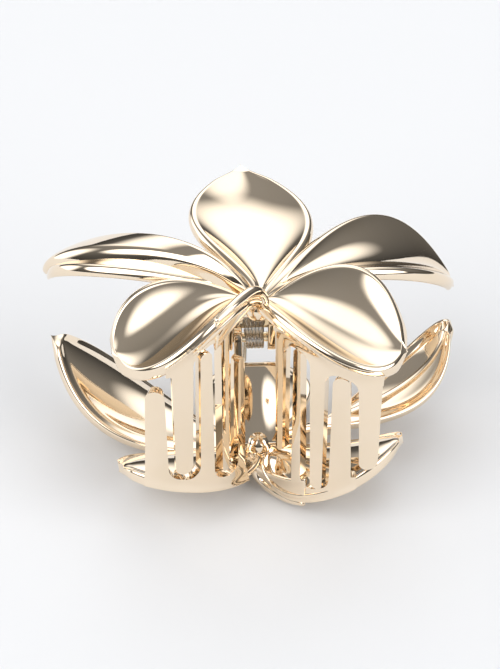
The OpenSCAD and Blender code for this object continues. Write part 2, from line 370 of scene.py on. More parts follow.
grid = node(
    petal_tree,
    "GeometryNodeMeshGrid",
    {"Size X": 1.0, "Size Y": 1.0, "Vertices X": given["Rows Along"], "Vertices Y": given["Rows Across"]},
)
position = node(petal_tree, "GeometryNodeInputPosition").outputs[0]
flat_place = node(petal_tree, "ShaderNodeSeparateXYZ", {0: position})
turn = t_maths("MULTIPLY", flat_place.outputs["X"], math.pi)
share = t_maths("MULTIPLY_ADD", t_maths("SINE", turn), 0.5, 0.5)
along = t_maths("MULTIPLY_ADD", share, t_maths("SUBTRACT", 1.0, given["Start"]), given["Start"])
tip_start = t_maths("SUBTRACT", 1.0, given["Tip Round"])
into_tip = not_below_zero(t_maths("DIVIDE", t_maths("SUBTRACT", along, tip_start), given["Tip Round"]))
reach = t_maths("SQRT", not_below_zero(t_maths("SUBTRACT", 1.0, squared(into_tip))))
across = t_maths("MULTIPLY", t_maths("SINE", t_maths("MULTIPLY", flat_place.outputs["Y"], math.pi)), reach)
kept = node(petal_tree, "GeometryNodeCaptureAttribute", {"Geometry": grid.outputs["Mesh"]})
for name, value in (("Along", along), ("Across", across), ("Reach", reach)):
    kept.capture_items.new("FLOAT", name)
    petal_tree.links.new(value, kept.inputs[name])
along, across, reach = kept.outputs["Along"], kept.outputs["Across"], kept.outputs["Reach"]
point = on_petal(along, across, fold_at(across))
left_reach = t_maths("MULTIPLY", reach, -1.0)
left_rim = on_petal(along, left_reach, fold_at(left_reach))
right_rim = on_petal(along, reach, fold_at(reach))
both_rims = vectors(petal_tree, "ADD", on_petal(along, -1.0, 1.0), on_petal(along, 1.0, 1.0))
chord_middle = vectors(petal_tree, "SCALE", both_rims, 0.5)
outside = vectors(petal_tree, "SUBTRACT", on_petal(along, 0.0, 1.0), chord_middle)
sheet = node(petal_tree, "GeometryNodeSetPosition", {"Geometry": kept.outputs["Geometry"], "Position": point})
facing = node(petal_tree, "GeometryNodeCaptureAttribute", {"Geometry": sheet.outputs["Geometry"]})
for name, kind, value in (
    ("Normal", "VECTOR", node(petal_tree, "GeometryNodeInputNormal").outputs[0]),
    ("Outside", "VECTOR", outside),
    ("To Left", "FLOAT", vectors(petal_tree, "DISTANCE", point, left_rim)),
    ("To Right", "FLOAT", vectors(petal_tree, "DISTANCE", point, right_rim)),
    ("To Tip", "FLOAT", vectors(petal_tree, "DISTANCE", point, given["Tip"])),
):
    facing.capture_items.new(kind, name)
    petal_tree.links.new(value, facing.inputs[name])
side_distance = t_maths("MINIMUM", facing.outputs["To Left"], facing.outputs["To Right"])
rim_distance = t_maths("MINIMUM", side_distance, facing.outputs["To Tip"])
width = t_maths("ADD", facing.outputs["To Left"], facing.outputs["To Right"])
rim_radius = t_maths("MULTIPLY", given["Wall"], 0.5)
from_middle = t_maths("SUBTRACT", rim_radius, t_maths("MINIMUM", rim_distance, rim_radius))
quarter = t_maths("SUBTRACT", squared(rim_radius), squared(from_middle))
round_edge = t_maths("SQRT", not_below_zero(quarter))
half_wall = t_maths("MINIMUM", round_edge, t_maths("MULTIPLY", width, WALL_SHARE_OF_WIDTH))
lip_share = eased(rim_distance, 0.0, given["Lip Width"], 1.0, 0.0)
lip_height = t_maths("MULTIPLY", given["Lip"], eased(facing.outputs["To Tip"], LIP_NEAR_TIP, LIP_WHOLE))
lip_room = t_maths("DIVIDE", half_wall, rim_radius)
lip = t_maths("MULTIPLY", t_maths("MULTIPLY", lip_share, lip_height), lip_room)
faces_outside = vectors(petal_tree, "DOT_PRODUCT", facing.outputs["Normal"], facing.outputs["Outside"])
lip_is_out = t_maths("GREATER_THAN", faces_outside, 0.0)


def end_tree(tree, geometry, finish):
    """Every tree ends in smooth shading, real geometry and its finish."""
    smooth = node(tree, "GeometryNodeSetShadeSmooth", {"Geometry": geometry, "Shade Smooth": True})
    real = node(tree, "GeometryNodeRealizeInstances", {"Geometry": smooth.outputs[0]})
    finished = node(tree, "GeometryNodeSetMaterial", {"Geometry": real.outputs[0], "Material": finish})
    node(tree, "NodeGroupOutput", {"Geometry": finished.outputs[0]})


def moved_by(sign, has_lip):
    """A copy of the sheet, moved by half the wall and, outside, by the lip."""
    amount = t_maths("MULTIPLY_ADD", lip, has_lip, half_wall)
    offset = vectors(petal_tree, "SCALE", facing.outputs["Normal"], t_maths("MULTIPLY", amount, sign))
    inputs = {"Geometry": facing.outputs["Geometry"], "Offset": offset}
    return node(petal_tree, "GeometryNodeSetPosition", inputs)


outer = moved_by(1.0, lip_is_out)
inner = moved_by(-1.0, t_maths("SUBTRACT", 1.0, lip_is_out))
flipped = node(petal_tree, "GeometryNodeFlipFaces", {"Mesh": inner.outputs["Geometry"]})
both = node(petal_tree, "GeometryNodeJoinGeometry")
petal_tree.links.new(outer.outputs["Geometry"], both.inputs[0])
petal_tree.links.new(flipped.outputs["Mesh"], both.inputs[0])
merged = node(petal_tree, "GeometryNodeMergeByDistance", {"Geometry": both.outputs[0], "Distance": MERGE})
in_metres = node(
    petal_tree, "GeometryNodeTransform", {"Geometry": merged.outputs[0], "Scale": (MM, MM, MM)}
)
end_tree(petal_tree, in_metres.outputs[0], given["Finish"])
print("petal tree made of", len(petal_tree.nodes), "nodes")


# %% Turning a tree's result into a plain mesh
def socket_key(tree, name):
    """A modifier's inputs are set by their identifiers, not their names."""
    return next(s.identifier for s in tree.interface.items_tree if s.in_out == "INPUT" and s.name == name)


def outcome(data, add_modifier):
    """The plain mesh that a modifier makes of some data. The modifier goes with its carrier."""
    carrier = bpy.data.objects.new("carrier", data)
    bpy.context.collection.objects.link(carrier)
    add_modifier(carrier)
    carrier.update_tag()
    mesh = bpy.data.meshes.new_from_object(carrier.evaluated_get(bpy.context.evaluated_depsgraph_get()))
    bpy.data.objects.remove(carrier)
    return mesh


def grown(name, data, tree, values):
    """Runs a tree on some data and keeps what comes out."""

    def add_tree(carrier):
        modifier = carrier.modifiers.new("tree", "NODES")
        modifier.node_group = tree
        for key, value in values.items():
            modifier[socket_key(tree, key)] = value

    mesh = outcome(data, add_tree)
    mesh.name = name
    # The bare mesh that the tree started from leaves an empty slot, and every face wears the one finish
    mesh.materials.clear()
    mesh.materials.append(values["Finish"])
    mesh.polygons.foreach_set("material_index", [0] * len(mesh.polygons))
    return mesh


def face_outwards(mesh):
    """Turns every face outwards, joins what touches, and says how the mesh came out."""
    shape = bmesh.new()
    shape.from_mesh(mesh)
    bmesh.ops.remove_doubles(shape, verts=shape.verts, dist=1e-7)
    bmesh.ops.recalc_face_normals(shape, faces=shape.faces)
    if shape.calc_volume(signed=True) < 0:
        bmesh.ops.reverse_faces(shape, faces=shape.faces)
    open_edges = sum(1 for e in shape.edges if not e.is_manifold)
    volume = round(abs(shape.calc_volume()) / MM**3)
    shape.to_mesh(mesh)
    shape.free()
    return f"{len(mesh.polygons)} faces, {open_edges} open edges, {volume} mm3"


# %% Showing a mesh as a piece of the clip
def as_piece(mesh, node_name, body):
    """Shows a mesh that is already in place instead of a CAD node."""
    mesh.name = node_name + "_polished"
    piece = bpy.data.objects.new(mesh.name, mesh)
    bpy.context.collection.objects.link(piece)
    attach(piece, body)
    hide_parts(node_name)
    return piece


def put_in_jaw(mesh, side, node_name):
    """Makes a flower mesh into the piece of a jaw that stands for a CAD node."""
    copy = mesh.copy()
    copy.transform(Matrix.Translation(HEART))
    if side == "lower":
        copy.transform(HALF_TURN)
    return as_piece(copy, node_name, BODIES[side])


# %% [markdown]
# # The five petals' curves
#
# Every row gives a petal's rims by their two control points each, and its tip, in
# millimetres from the heart. The keel is the mean of the rims, sunk by the petal's
# hollow: a little near the heart and more further out. The two sides of the flower
# aren't mirror images, as in a real bloom: the left long petal shows its back to the
# sky, and the right one opens to it.

# %% Curves and growth
ROOT = (0.0, 0.5, -1.5)
PETALS = {
    "back": dict(
        left=((-0.7, 10.8, 5.0), (-26.88, 25.6, 1.2)), right=((6.2, 9.6, 4.6), (24.48, 24.4, 2.1)),
        tip=(-1.5, 40.0, 6.5), near=(0.0, 0.0, -4.0), far=(0.0, 0.0, -4.5),
    ),
    "left_long": dict(
        left=((-10.08, 12.5, -1.4), (-43.68, 5.4, 8.0)), right=((-9.24, 13.2, 16.0), (-40.74, 38.88, -10.0)),
        tip=(-42.0, 29.2, -12.0), near=(1.0, 0.0, -3.6), far=(4.95, -1.8, -3.15),
        sizes={"Fold": 1.35, "Fold From": -0.5, "Fold To": 0.05, "Tip Round": 0.06},
    ),
    "right_long": dict(
        left=((11.76, 12.7, 7.6), (29.4, 45.36, 4.2)), right=((7.98, 6.8, 4.4), (38.64, 0.0, 6.4)),
        tip=(42.0, 24.2, -15.0), near=(-1.0, 0.0, -3.6), far=(-4.95, -1.8, -3.15),
        sizes={"Tip Round": 0.06},
    ),
    "left_round": dict(
        left=((-2.6, -8.0, 15.6), (-20.88, -26.5, -10.9)), right=((-16.24, 6.9, 8.0), (-30.16, 5.8, 0.4)),
        tip=(-29.0, -6.0, -7.2), near=(0.0, 0.0, -8.0), far=(1.8, 2.4, -3.6), sizes={"Lip": 1.1},
    ),
    "right_round": dict(
        left=((13.92, 6.4, 8.2), (27.26, 10.0, 6.0)), right=((-1.7, -5.1, 7.2), (20.01, -26.5, -10.8)),
        tip=(28.5, -10.5, -5.8), near=(0.0, 0.0, -5.4), far=(-1.8, 1.8, -4.8), sizes={"Lip": 1.0},
    ),
}


def keel_point(petal, step, sink):
    """The keel lies below the middle of the two rims."""
    return tuple((a + b) / 2 + s for a, b, s in zip(petal["left"][step], petal["right"][step], sink))


petal_meshes = {}
for name, petal in PETALS.items():
    places = {
        "Root": ROOT, "Tip": petal["tip"],
        "Left Near": petal["left"][0], "Left Far": petal["left"][1],
        "Keel Near": keel_point(petal, 0, petal["near"]), "Keel Far": keel_point(petal, 1, petal["far"]),
        "Right Near": petal["right"][0], "Right Far": petal["right"][1],
    }
    values = {**PETAL_SIZES, **petal.get("sizes", {}), **places, "Finish": GOLD}
    mesh = grown(name, bpy.data.meshes.new(name + " seed"), petal_tree, values)
    petal_meshes[name] = mesh
    print(name, "petal:", face_outwards(mesh))


# %% [markdown]
# # The rim that crosses the heart
#
# The near rim of the left round petal doesn't stop at the heart: it runs over the top
# and turns down on the far side, like a tendril, and hides the place where all the
# petals meet. It is a round bar that thins towards its end, so a ring of points is
# carried along a short path and skinned, and the bar becomes part of that petal.

# %% Skinning rings of points
def mesh_from(shape, name):
    """Makes a smooth-shaded mesh of a shape in millimetres."""
    for face in shape.faces:
        face.smooth = True
    mesh = bpy.data.meshes.new(name)
    shape.to_mesh(mesh)
    shape.free()
    mesh.transform(TO_METRES)
    return mesh


def skinned(name, rings, ends):
    """Skins equally long rings. Their ends are a fan, flat, or joined in a loop."""
    shape = bmesh.new()
    made = [[shape.verts.new(p) for p in ring] for ring in rings]
    count = len(made[0])
    for first, second in zip(made, made[1:] + (made[:1] if ends == "loop" else [])):
        for i in range(count):
            j = (i + 1) % count
            shape.faces.new((first[i], first[j], second[j], second[i]))
    for ring in (made[0], made[-1]) if ends != "loop" else ():
        if ends == "flat":
            shape.faces.new(ring)
            continue
        middle = shape.verts.new(sum((v.co for v in ring), Vector()) / count)
        for i in range(count):
            shape.faces.new((middle, ring[i], ring[(i + 1) % count]))
    return mesh_from(shape, name)


def joined(name, meshes):
    """One mesh out of several closed ones."""
    shape = bmesh.new()
    for mesh in meshes:
        shape.from_mesh(mesh)
    result = bpy.data.meshes.new(name)
    shape.to_mesh(result)
    shape.free()
    return result


# %% Bar over the heart
CROSSING = [
    (-8.9, -11.6, 3.3), (-5.9, -8.6, 4.3), (-3.4, -5.7, 4.6), (-1.6, -3.6, 4.5),
    (-0.2, -2.3, 3.7), (0.8, -1.8, 2.3), (1.2, -1.9, 0.6), (1.2, -2.0, -1.0),
]
THICKNESS = [0.55, 0.95, 1.15, 1.15, 1.05, 0.95, 0.85, 0.7]
WEB_DROP = [6.5, 5.4, 4.4, 3.7, 3.2, 2.6, 1.6, 0.8]
WEB_HALF_WALL = 0.6
LEAST_END = 0.0025
BAR_SIDES, STEPS_PER_SPAN = 28, 10


def smooth_path(points):
    """A curve through every point (Catmull and Rom's)."""
    p = [np.array(q, float) for q in points]
    p = [2 * p[0] - p[1], *p, 2 * p[-1] - p[-2]]
    result = []
    for a, b, c, d in zip(p, p[1:], p[2:], p[3:]):
        for t in np.arange(STEPS_PER_SPAN) / STEPS_PER_SPAN:
            bend, twist = 2 * a - 5 * b + 4 * c - d, 3 * b - a - 3 * c + d
            result.append(0.5 * (2 * b + (c - a) * t + bend * t**2 + twist * t**3))
    return np.array(result + [p[-2]])


def carried(points, sizes, upward):
    """A smooth path with, at each place, its size, its level direction and its rise."""
    centre = smooth_path(points)
    size = np.interp(np.linspace(0, 1, len(centre)), np.linspace(0, 1, len(sizes)), sizes)
    heading = np.gradient(centre, axis=0)
    heading /= np.linalg.norm(heading, axis=1)[:, None]
    level = np.cross(heading, upward)
    level /= np.linalg.norm(level, axis=1)[:, None]
    return centre, size, level, np.cross(level, heading)


def bar_mesh(points, radii):
    """A round bar along a path, with rounded ends."""
    centre, radius, level, rise = carried(points, radii, (0, 0.6, 0.8))
    travelled = np.linalg.norm(np.diff(centre, axis=0, prepend=centre[:1]), axis=1).cumsum()
    for to_end in (travelled, travelled[-1] - travelled):
        closing = np.clip(to_end / radius, 0.0, 1.0)
        radius = radius * np.sqrt(np.maximum(1 - (1 - closing) ** 2, LEAST_END))
    turns = np.arange(BAR_SIDES) * 2 * math.pi / BAR_SIDES
    rings = [
        [middle + r * (math.cos(t) * u + math.sin(t) * v) for t in turns]
        for middle, r, u, v in zip(centre, radius, level, rise)
    ]
    return skinned("bar", rings, "fan")


def web_mesh(points, drops):
    """The thin wall that hangs from the bar and ties the comb to the heart."""
    centre, drop, level, _ = carried(points, drops, (0, 0, 1))
    turns = np.arange(BAR_SIDES) * 2 * math.pi / BAR_SIDES
    rings = []
    for top, fall, u in zip(centre, drop, level):
        across, down = WEB_HALF_WALL * np.cos(turns), fall * (1 + np.sin(turns)) / 2
        rings.append([top + a * u - (0, 0, d) for a, d in zip(across, down)])
    return skinned("web", rings, "fan")


bar, web = bar_mesh(CROSSING, THICKNESS), web_mesh(CROSSING, WEB_DROP)
for extra in (bar, web):
    face_outwards(extra)
petal_meshes["left_round"] = joined("left_round", [petal_meshes["left_round"], bar, web])
petal_meshes["left_round"].materials.append(GOLD)
print("bar over the heart:", len(bar.polygons), "faces")

# %% [markdown]
# # Both jaws' petals
#
# The five meshes are grown once. Each jaw gets its own copy, moved to the heart, and
# turned for the lower jaw, so every petal rides its own body and stands for its own
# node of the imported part.

# %% Petals onto the jaws
for side in ("upper", "lower"):
    for name, mesh in petal_meshes.items():
        hand, _, rest = name.rpartition("_")
        feature = f"{upper_name(side, hand)}_{rest}" if hand else name
        piece = put_in_jaw(mesh, side, f"{side}_{feature}_petal")
        print(piece.name, "on", BODIES[side])

# %% [markdown]
# # Combs
#
# Each comb hangs from the front rim of a round petal: a band under the rim with teeth
# below it, and the slots between them end in a full round, as the casting's tool left
# them. The comb could be a box with slots cut through it by booleans, but those leave
# ragged faces that a mirror finish would show. Here the front view is drawn as one
# outline, its corners rounded by their own radii, then given a thickness and bevelled
# edges, sliced fine enough to bend, and laid along the rim's curve. Near the top the
# front face swells out into the rim, which is the fillet of the casting.

# %% The rim as a path
COMB_WALL, COMB_PROUD, BAND_HEIGHT, TIP_GAP = 2.0, 0.4, 3.2, 0.8
INTO_RIM, ROOT_RADIUS, TIP_SHARE = 0.3, 3.0, 0.98
OUTER_RADIUS, INNER_RADIUS = 1.2, 0.8
EDGE_BEVEL, SWELL, SWELL_REACH = 0.4, 0.55, 1.5
ALONG_GAP, UP_GAP, FINE_HEIGHT = 0.45, 0.5, 9
TOOTH_WIDTH, TOOTH_TIP, MIDDLE_TOOTH_END = 4.6, 3.6, -11.5
TOOTH_PLACES = (4.0, 7.2, 10.9, 15.4, 20.8)
TOOTH_SHARES = (0.5, 0.5, 0.72, 0.95, 1.0)


class RimPath:
    """A round petal's near rim seen from above, measured along its length."""

    HEART_REACH = 4

    def __init__(self, petal, near):
        controls = np.array([ROOT, petal[near][0], petal[near][1], petal["tip"]])
        t = np.linspace(0.05, 0.99, 800)[:, None]
        weights = np.hstack([(1 - t) ** 3, 3 * (1 - t) ** 2 * t, 3 * (1 - t) * t**2, t**3])
        self.points = weights @ controls
        steps = np.diff(self.points[:, :2], axis=0)
        self.length = np.concatenate([[0], np.cumsum(np.hypot(steps[:, 0], steps[:, 1]))])
        slope = np.gradient(self.points[:, :2], axis=0)
        outward = np.stack([slope[:, 1], -slope[:, 0]], 1)
        outward /= np.linalg.norm(outward, axis=1)[:, None]
        self.outward = outward * np.where(outward[:, 1:] < 0, 1, -1)

    def at_side(self, x):
        """Length along the rim where it is x to the side of the middle."""
        started = np.argmax(np.abs(self.points[:, 1]) > self.HEART_REACH)
        return float(np.interp(x, np.abs(self.points[started:, 0]), self.length[started:]))

    def look_up(self, along, column):
        """One of the path's columns at this length."""
        return np.interp(along, self.length, column)

    def height(self, along):
        """The rim's height at this length."""
        return self.look_up(along, self.points[:, 2])


near_rims = {
    "left": RimPath(PETALS["left_round"], "left"),
    "right": RimPath(PETALS["right_round"], "right"),
}
for hand, path in near_rims.items():
    print(hand, "rim is", round(path.length[-1], 1), "mm long from above")


# %% Outline with rounded corners
def rounded(corners, steps=10):
    """Points of a closed outline. Each corner is (x, y, radius) and becomes an arc."""
    result = []
    for index, (x, y, radius) in enumerate(corners):
        here = np.array((x, y))
        before = np.array(corners[index - 1][:2]) - here
        after = np.array(corners[(index + 1) % len(corners)][:2]) - here
        reach_before, reach_after = np.linalg.norm(before), np.linalg.norm(after)
        before, after = before / reach_before, after / reach_after
        half_angle = math.acos(max(-1, min(1, float(before @ after)))) / 2
        if radius <= 0 or half_angle > 1.5:
            result.append(here)
            continue
        cut = min(radius / math.tan(half_angle), 0.499 * reach_before, 0.499 * reach_after)
        radius = cut * math.tan(half_angle)
        middle = here + (before + after) / np.linalg.norm(before + after) * radius / math.sin(half_angle)
        first, last = here + before * cut - middle, here + after * cut - middle
        swing_angle = math.atan2(first[0] * last[1] - first[1] * last[0], float(first @ last))
        for step in range(steps + 1):
            angle = swing_angle * step / steps
            c, s = math.cos(angle), math.sin(angle)
            result.append(middle + np.array((c * first[0] - s * first[1], s * first[0] + c * first[1])))
    return result


def comb_outline(path, span, teeth, ends):
    """Front view of a comb, along the rim and up, clockwise from the top inner corner."""
    start, stop = path.at_side(span[0]), path.at_side(span[1])
    top = [(a, path.height(a) - INTO_RIM, 0) for a in np.linspace(start, stop, 24)]
    bottom = []
    for number, end in sorted(zip(teeth, ends), reverse=True):
        middle = path.at_side(TOOTH_PLACES[number])
        half = TOOTH_SHARES[number] * TOOTH_WIDTH / 2
        tip = TOOTH_SHARES[number] * TOOTH_TIP / 2
        root_high = path.height(middle + half) - BAND_HEIGHT
        root_low = path.height(middle - half) - BAND_HEIGHT
        bottom += [
            (middle + half, root_high, ROOT_RADIUS), (middle + tip, end, tip * TIP_SHARE),
            (middle - tip, end, tip * TIP_SHARE), (middle - half, root_low, ROOT_RADIUS),
        ]
    outer_end = [(stop, path.height(stop) - BAND_HEIGHT, OUTER_RADIUS)]
    inner_end = [(start, path.height(start) - BAND_HEIGHT, INNER_RADIUS)]
    if bottom[-1][0] <= start:
        bottom[-1] = (start, bottom[-1][1], 0)
        inner_end = []
    if bottom[0][0] >= stop:
        bottom[0] = (stop, bottom[0][1], 0)
        outer_end = []
    return rounded(top + outer_end + bottom + inner_end)


# %% From outline to bent wall
def slice_up(shape, axis, low, high, gap):
    """Cuts the shape across at even steps, so that it can bend."""
    normal = Vector((axis == 0, axis == 1, axis == 2))
    for value in np.arange(low, high, gap):
        everything = shape.verts[:] + shape.edges[:] + shape.faces[:]
        bmesh.ops.bisect_plane(
            shape, geom=everything, plane_co=normal * float(value), plane_no=normal, dist=1e-5
        )


def comb_mesh(name, path, outline):
    """A flat comb with bevelled edges, sliced, then bent along the rim."""
    shape = bmesh.new()
    face = shape.faces.new([shape.verts.new((p[0], 0, p[1])) for p in outline])
    moved = bmesh.ops.extrude_face_region(shape, geom=[face])
    for v in moved["geom"]:
        if isinstance(v, bmesh.types.BMVert):
            v.co.y = COMB_WALL
    bmesh.ops.recalc_face_normals(shape, faces=shape.faces)
    edges = {e for f in shape.faces if abs(f.normal.y) > 0.9 for e in f.edges}
    bevel = dict(offset=EDGE_BEVEL, segments=4, profile=0.5, affect="EDGES", clamp_overlap=True)
    bmesh.ops.bevel(shape, geom=list(edges), **bevel)
    bmesh.ops.remove_doubles(shape, verts=shape.verts, dist=1e-4)
    slice_up(shape, 0, min(p[0] for p in outline), max(p[0] for p in outline), ALONG_GAP)
    highest = max(p[1] for p in outline)
    slice_up(shape, 2, highest - FINE_HEIGHT, highest, UP_GAP)
    bmesh.ops.triangulate(shape, faces=[f for f in shape.faces if len(f.verts) > 4])
    for v in shape.verts:
        along, inward, up = v.co
        below_rim = path.height(along) - up
        swell = SWELL * math.exp(-((below_rim / SWELL_REACH) ** 2)) * (1 - inward / COMB_WALL)
        out = COMB_PROUD - inward + swell
        v.co = (
            path.look_up(along, path.points[:, 0]) + out * path.look_up(along, path.outward[:, 0]),
            path.look_up(along, path.points[:, 1]) + out * path.look_up(along, path.outward[:, 1]),
            up,
        )
    return mesh_from(shape, name)


def steadied(mesh):
    """Lets the large faces set the shading, so that bevels don't tilt it."""

    def add_weighting(carrier):
        modifier = carrier.modifiers.new("steady", "WEIGHTED_NORMAL")
        modifier.keep_sharp = False
        modifier.weight = 80

    return outcome(mesh, add_weighting)


def tooth_end(facing, number):
    """A tooth stops just short of the slot's round end in the facing comb."""
    path = near_rims[facing]
    rim_height = HEART_MM.z + path.height(path.at_side(TOOTH_PLACES[number]))
    return BAND_HEIGHT + TIP_GAP - rim_height - HEART_MM.z


# How far to the side each comb starts and stops, its teeth, and the heights where they end
combs = {
    "left": ((3.0, 18.6), (1, 3), [tooth_end("right", n) for n in (1, 3)]),
    "right": (
        (2.9, 23.2), (0, 2, 4), [MIDDLE_TOOTH_END - HEART_MM.z] + [tooth_end("left", n) for n in (2, 4)]
    ),
}
comb_meshes = {}
for hand, (span, teeth, ends) in combs.items():
    rim = near_rims[hand]
    mesh = comb_mesh(hand + " comb", rim, comb_outline(rim, span, teeth, ends))
    print(hand, "comb:", face_outwards(mesh))
    mesh = steadied(mesh)
    mesh.materials.append(GOLD)
    comb_meshes[hand] = mesh

for side in ("upper", "lower"):
    for hand, mesh in comb_meshes.items():
        put_in_jaw(mesh, side, f"{side}_{upper_name(side, hand)}_comb")

# %% [markdown]
# # Heart, arm and hinge lugs
#
# Under the petals an arm slants from the heart down to the pin, with two lugs on its
# end that the pin runs through. On the casting none of these is a flat bar: the arm
# carries on the folds between the petals as a raised ridge with a hollow on each side,
# and every edge is run soft. The arm is lofted from sections, because its fold deepens
# along its length, and the lugs are one side view, rounded and given thickness.

# %% Arm and heart
ARM_START, ARM_END = Vector((0, -14.7, 16.9)), Vector((0, -2.0, 5.0))
ARM_WALL, ARM_FOLD, ARM_END_ROUND = 2.4, 1.0, 0.9
ARM_HALF = arm_high.x / MM
ARM_RINGS, ARM_SIDES = 48, 112
BAR_POWER, CREASE_SOFTNESS = 0.45, 0.012
BALL_RADIUS, BALL_MIDDLE, BALL_SQUASH = 2.7, HEART_MM + Vector((0, 1.2, -2.6)), 0.97


def arm_sections():
    """Rings along the arm: a soft-edged bar, folded along its middle like a leaf."""
    along_arm = (ARM_END - ARM_START).normalized()
    upward = Vector((0, -along_arm.z, along_arm.y))
    length = (ARM_END - ARM_START).length
    rings = []
    for i in range(ARM_RINGS + 1):
        share = (1 - math.cos(math.pi * i / ARM_RINGS)) / 2
        to_end = min(share, 1 - share) * length
        shrink = math.sqrt(max(1 - (1 - min(to_end, ARM_END_ROUND) / ARM_END_ROUND) ** 2, 0.01))
        middle = ARM_START + along_arm * share * length
        ring = []
        for k in range(ARM_SIDES):
            turn = 2 * math.pi * k / ARM_SIDES
            x, y = (math.copysign(abs(v) ** BAR_POWER, v) for v in (math.cos(turn), math.sin(turn)))
            raised = ARM_FOLD * math.sin(math.pi * share) * (0.5 - math.sqrt(x * x + CREASE_SOFTNESS))
            sideways = Vector((x * (ARM_HALF - ARM_END_ROUND * (1 - shrink)), 0, 0))
            ring.append(middle + sideways + upward * (y * ARM_WALL / 2 * shrink + raised))
        rings.append(ring)
    return rings


def ball(radius, middle, squash):
    """A rounded knob, denser than it needs to be so that its glint stays round."""
    shape = bmesh.new()
    bmesh.ops.create_icosphere(shape, subdivisions=5, radius=radius)
    for v in shape.verts:
        v.co.z *= squash
        v.co += middle
    return mesh_from(shape, "ball")


arm_bar = skinned("arm", arm_sections(), "fan")
face_outwards(arm_bar)
arm_mesh = joined("arm", [arm_bar, ball(BALL_RADIUS, BALL_MIDDLE, BALL_SQUASH)])
arm_mesh.materials.append(GOLD)
print("arm:", len(arm_mesh.polygons), "faces")


# %% Lugs
BOSS_RADIUS, HOLE_RADIUS, EDGE, HOLE_EDGE = 2.7, 1.05, 0.3, 0.1
LUG_SIDES, EDGE_STEPS = 180, 5
# Corners as they follow each other: back and up, in mm from the pin, and the corner's radius
LUG_SIDE_VIEW = [(-2.43, -1.08, 0), (-7.3, 9.4, 0.7), (-6.4, 10.1, 0.7), (-2.0, 5.0, 1.0), (1.62, 2.03, 0)]


def reach_of(outline, angle):
    """How far a side view reaches from the pin's axis in one direction."""
    d = np.array((math.cos(angle), math.sin(angle)))
    best = BOSS_RADIUS
    for a, b in zip(outline, outline[1:] + outline[:1]):
        e = b - a
        across_ray = d[0] * e[1] - d[1] * e[0]
        if abs(across_ray) > 1e-9:
            t = (a[0] * e[1] - a[1] * e[0]) / across_ray
            s = (a[0] * d[1] - a[1] * d[0]) / across_ray
            if t > 0 and 0 <= s <= 1:
                best = max(best, t)
    return best


def lug_mesh(node_name):
    """The side view, as thick as the CAD lug, with soft edges and the pin's hole."""
    low, high = (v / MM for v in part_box(node_name))
    outline = rounded(LUG_SIDE_VIEW)
    turns = [2 * math.pi * i / LUG_SIDES for i in range(LUG_SIDES)]
    reaches = [reach_of(outline, t) for t in turns]
    quarter = [math.pi / 2 * i / EDGE_STEPS for i in range(EDGE_STEPS + 1)]
    soft = [(EDGE * (1 - math.sin(q)), EDGE * (1 - math.cos(q))) for q in quarter]
    # Each row: on the outer edge or in the hole, how far in it is set, and its place along the pin
    rows = [("hole", HOLE_EDGE, low.x), *[("edge", inset, low.x + x) for inset, x in soft]]
    rows += [("edge", inset, high.x - x) for inset, x in reversed(soft)]
    rows += [("hole", HOLE_EDGE, high.x), ("hole", 0.0, high.x - HOLE_EDGE), ("hole", 0.0, low.x + HOLE_EDGE)]
    rings = []
    for kind, inset, x in rows:
        radii = [r - inset for r in reaches] if kind == "edge" else [HOLE_RADIUS + inset] * LUG_SIDES
        rings.append([(x, r * math.cos(t), r * math.sin(t)) for r, t in zip(radii, turns)])
    mesh = skinned(node_name, rings, "loop")
    face_outwards(mesh)
    return steadied(mesh)


for side in ("upper", "lower"):
    turned = Matrix.Identity(4) if side == "upper" else HALF_TURN
    arm_copy = arm_mesh.copy()
    arm_copy.transform(turned)
    as_piece(arm_copy, side + "_arm", BODIES[side])
    for hand in ("left", "right"):
        lug = lug_mesh(f"upper_{upper_name(side, hand)}_lug")
        lug.transform(turned)
        lug.materials.append(GOLD)
        as_piece(lug, f"{side}_{hand}_lug", BODIES[side])
print("arms and lugs stand in for", [n for n in frame["nodes"] if "arm" in n or "lug" in n])

# %% [markdown]
# # Hinge pin
#
# The pin is a plain rod, closed at both ends by a low dome pressed on after it was
# pushed through the lugs. A lathe makes such a part, and here too one outline is turned
# round the pin's line. The small round under each head keeps its edge from looking cut
# out of paper.

# %% Lathe the pin
PIN_RADIUS, HEAD_WALL, DOME_SHARE = 1.0, 0.8, 0.7
HEAD_EDGE, FILLET, SHANK_START = 0.12, 0.06, 2.5
PIN_SIDES, DOME_ROWS = 96, 14
_, pin_high = (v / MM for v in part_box("hinge_pin"))
head_radius, half = pin_high.z, pin_high.x
head_back = half - HEAD_WALL
dome = [
    (half - HEAD_WALL * DOME_SHARE * (1 - math.cos(a)), head_radius * math.sin(a))
    for a in np.linspace(0.02, math.pi / 2, DOME_ROWS)
]
under = [(head_back + HEAD_EDGE * 2 / 3, head_radius - HEAD_EDGE / 6), (head_back, head_radius - HEAD_EDGE)]
neck = [(head_back, PIN_RADIUS + FILLET), (head_back - FILLET, PIN_RADIUS), (half - SHANK_START, PIN_RADIUS)]
right_half = dome + under + neck
profile = right_half + [(-x, r) for x, r in reversed(right_half)]
turns = [2 * math.pi * i / PIN_SIDES for i in range(PIN_SIDES)]
pin_rings = [[(x, r * math.cos(t), r * math.sin(t)) for t in turns] for x, r in profile]
pin_mesh = skinned("pin", pin_rings, "flat")
print("pin:", face_outwards(pin_mesh))
pin_mesh = steadied(pin_mesh)
pin_mesh.materials.append(PIN_METAL)
bodies = frame["record"]["behaviour"]["bodies"]
pin_body = next(body for body, names in bodies.items() if "hinge_pin" in names)
as_piece(pin_mesh, "hinge_pin", pin_body)

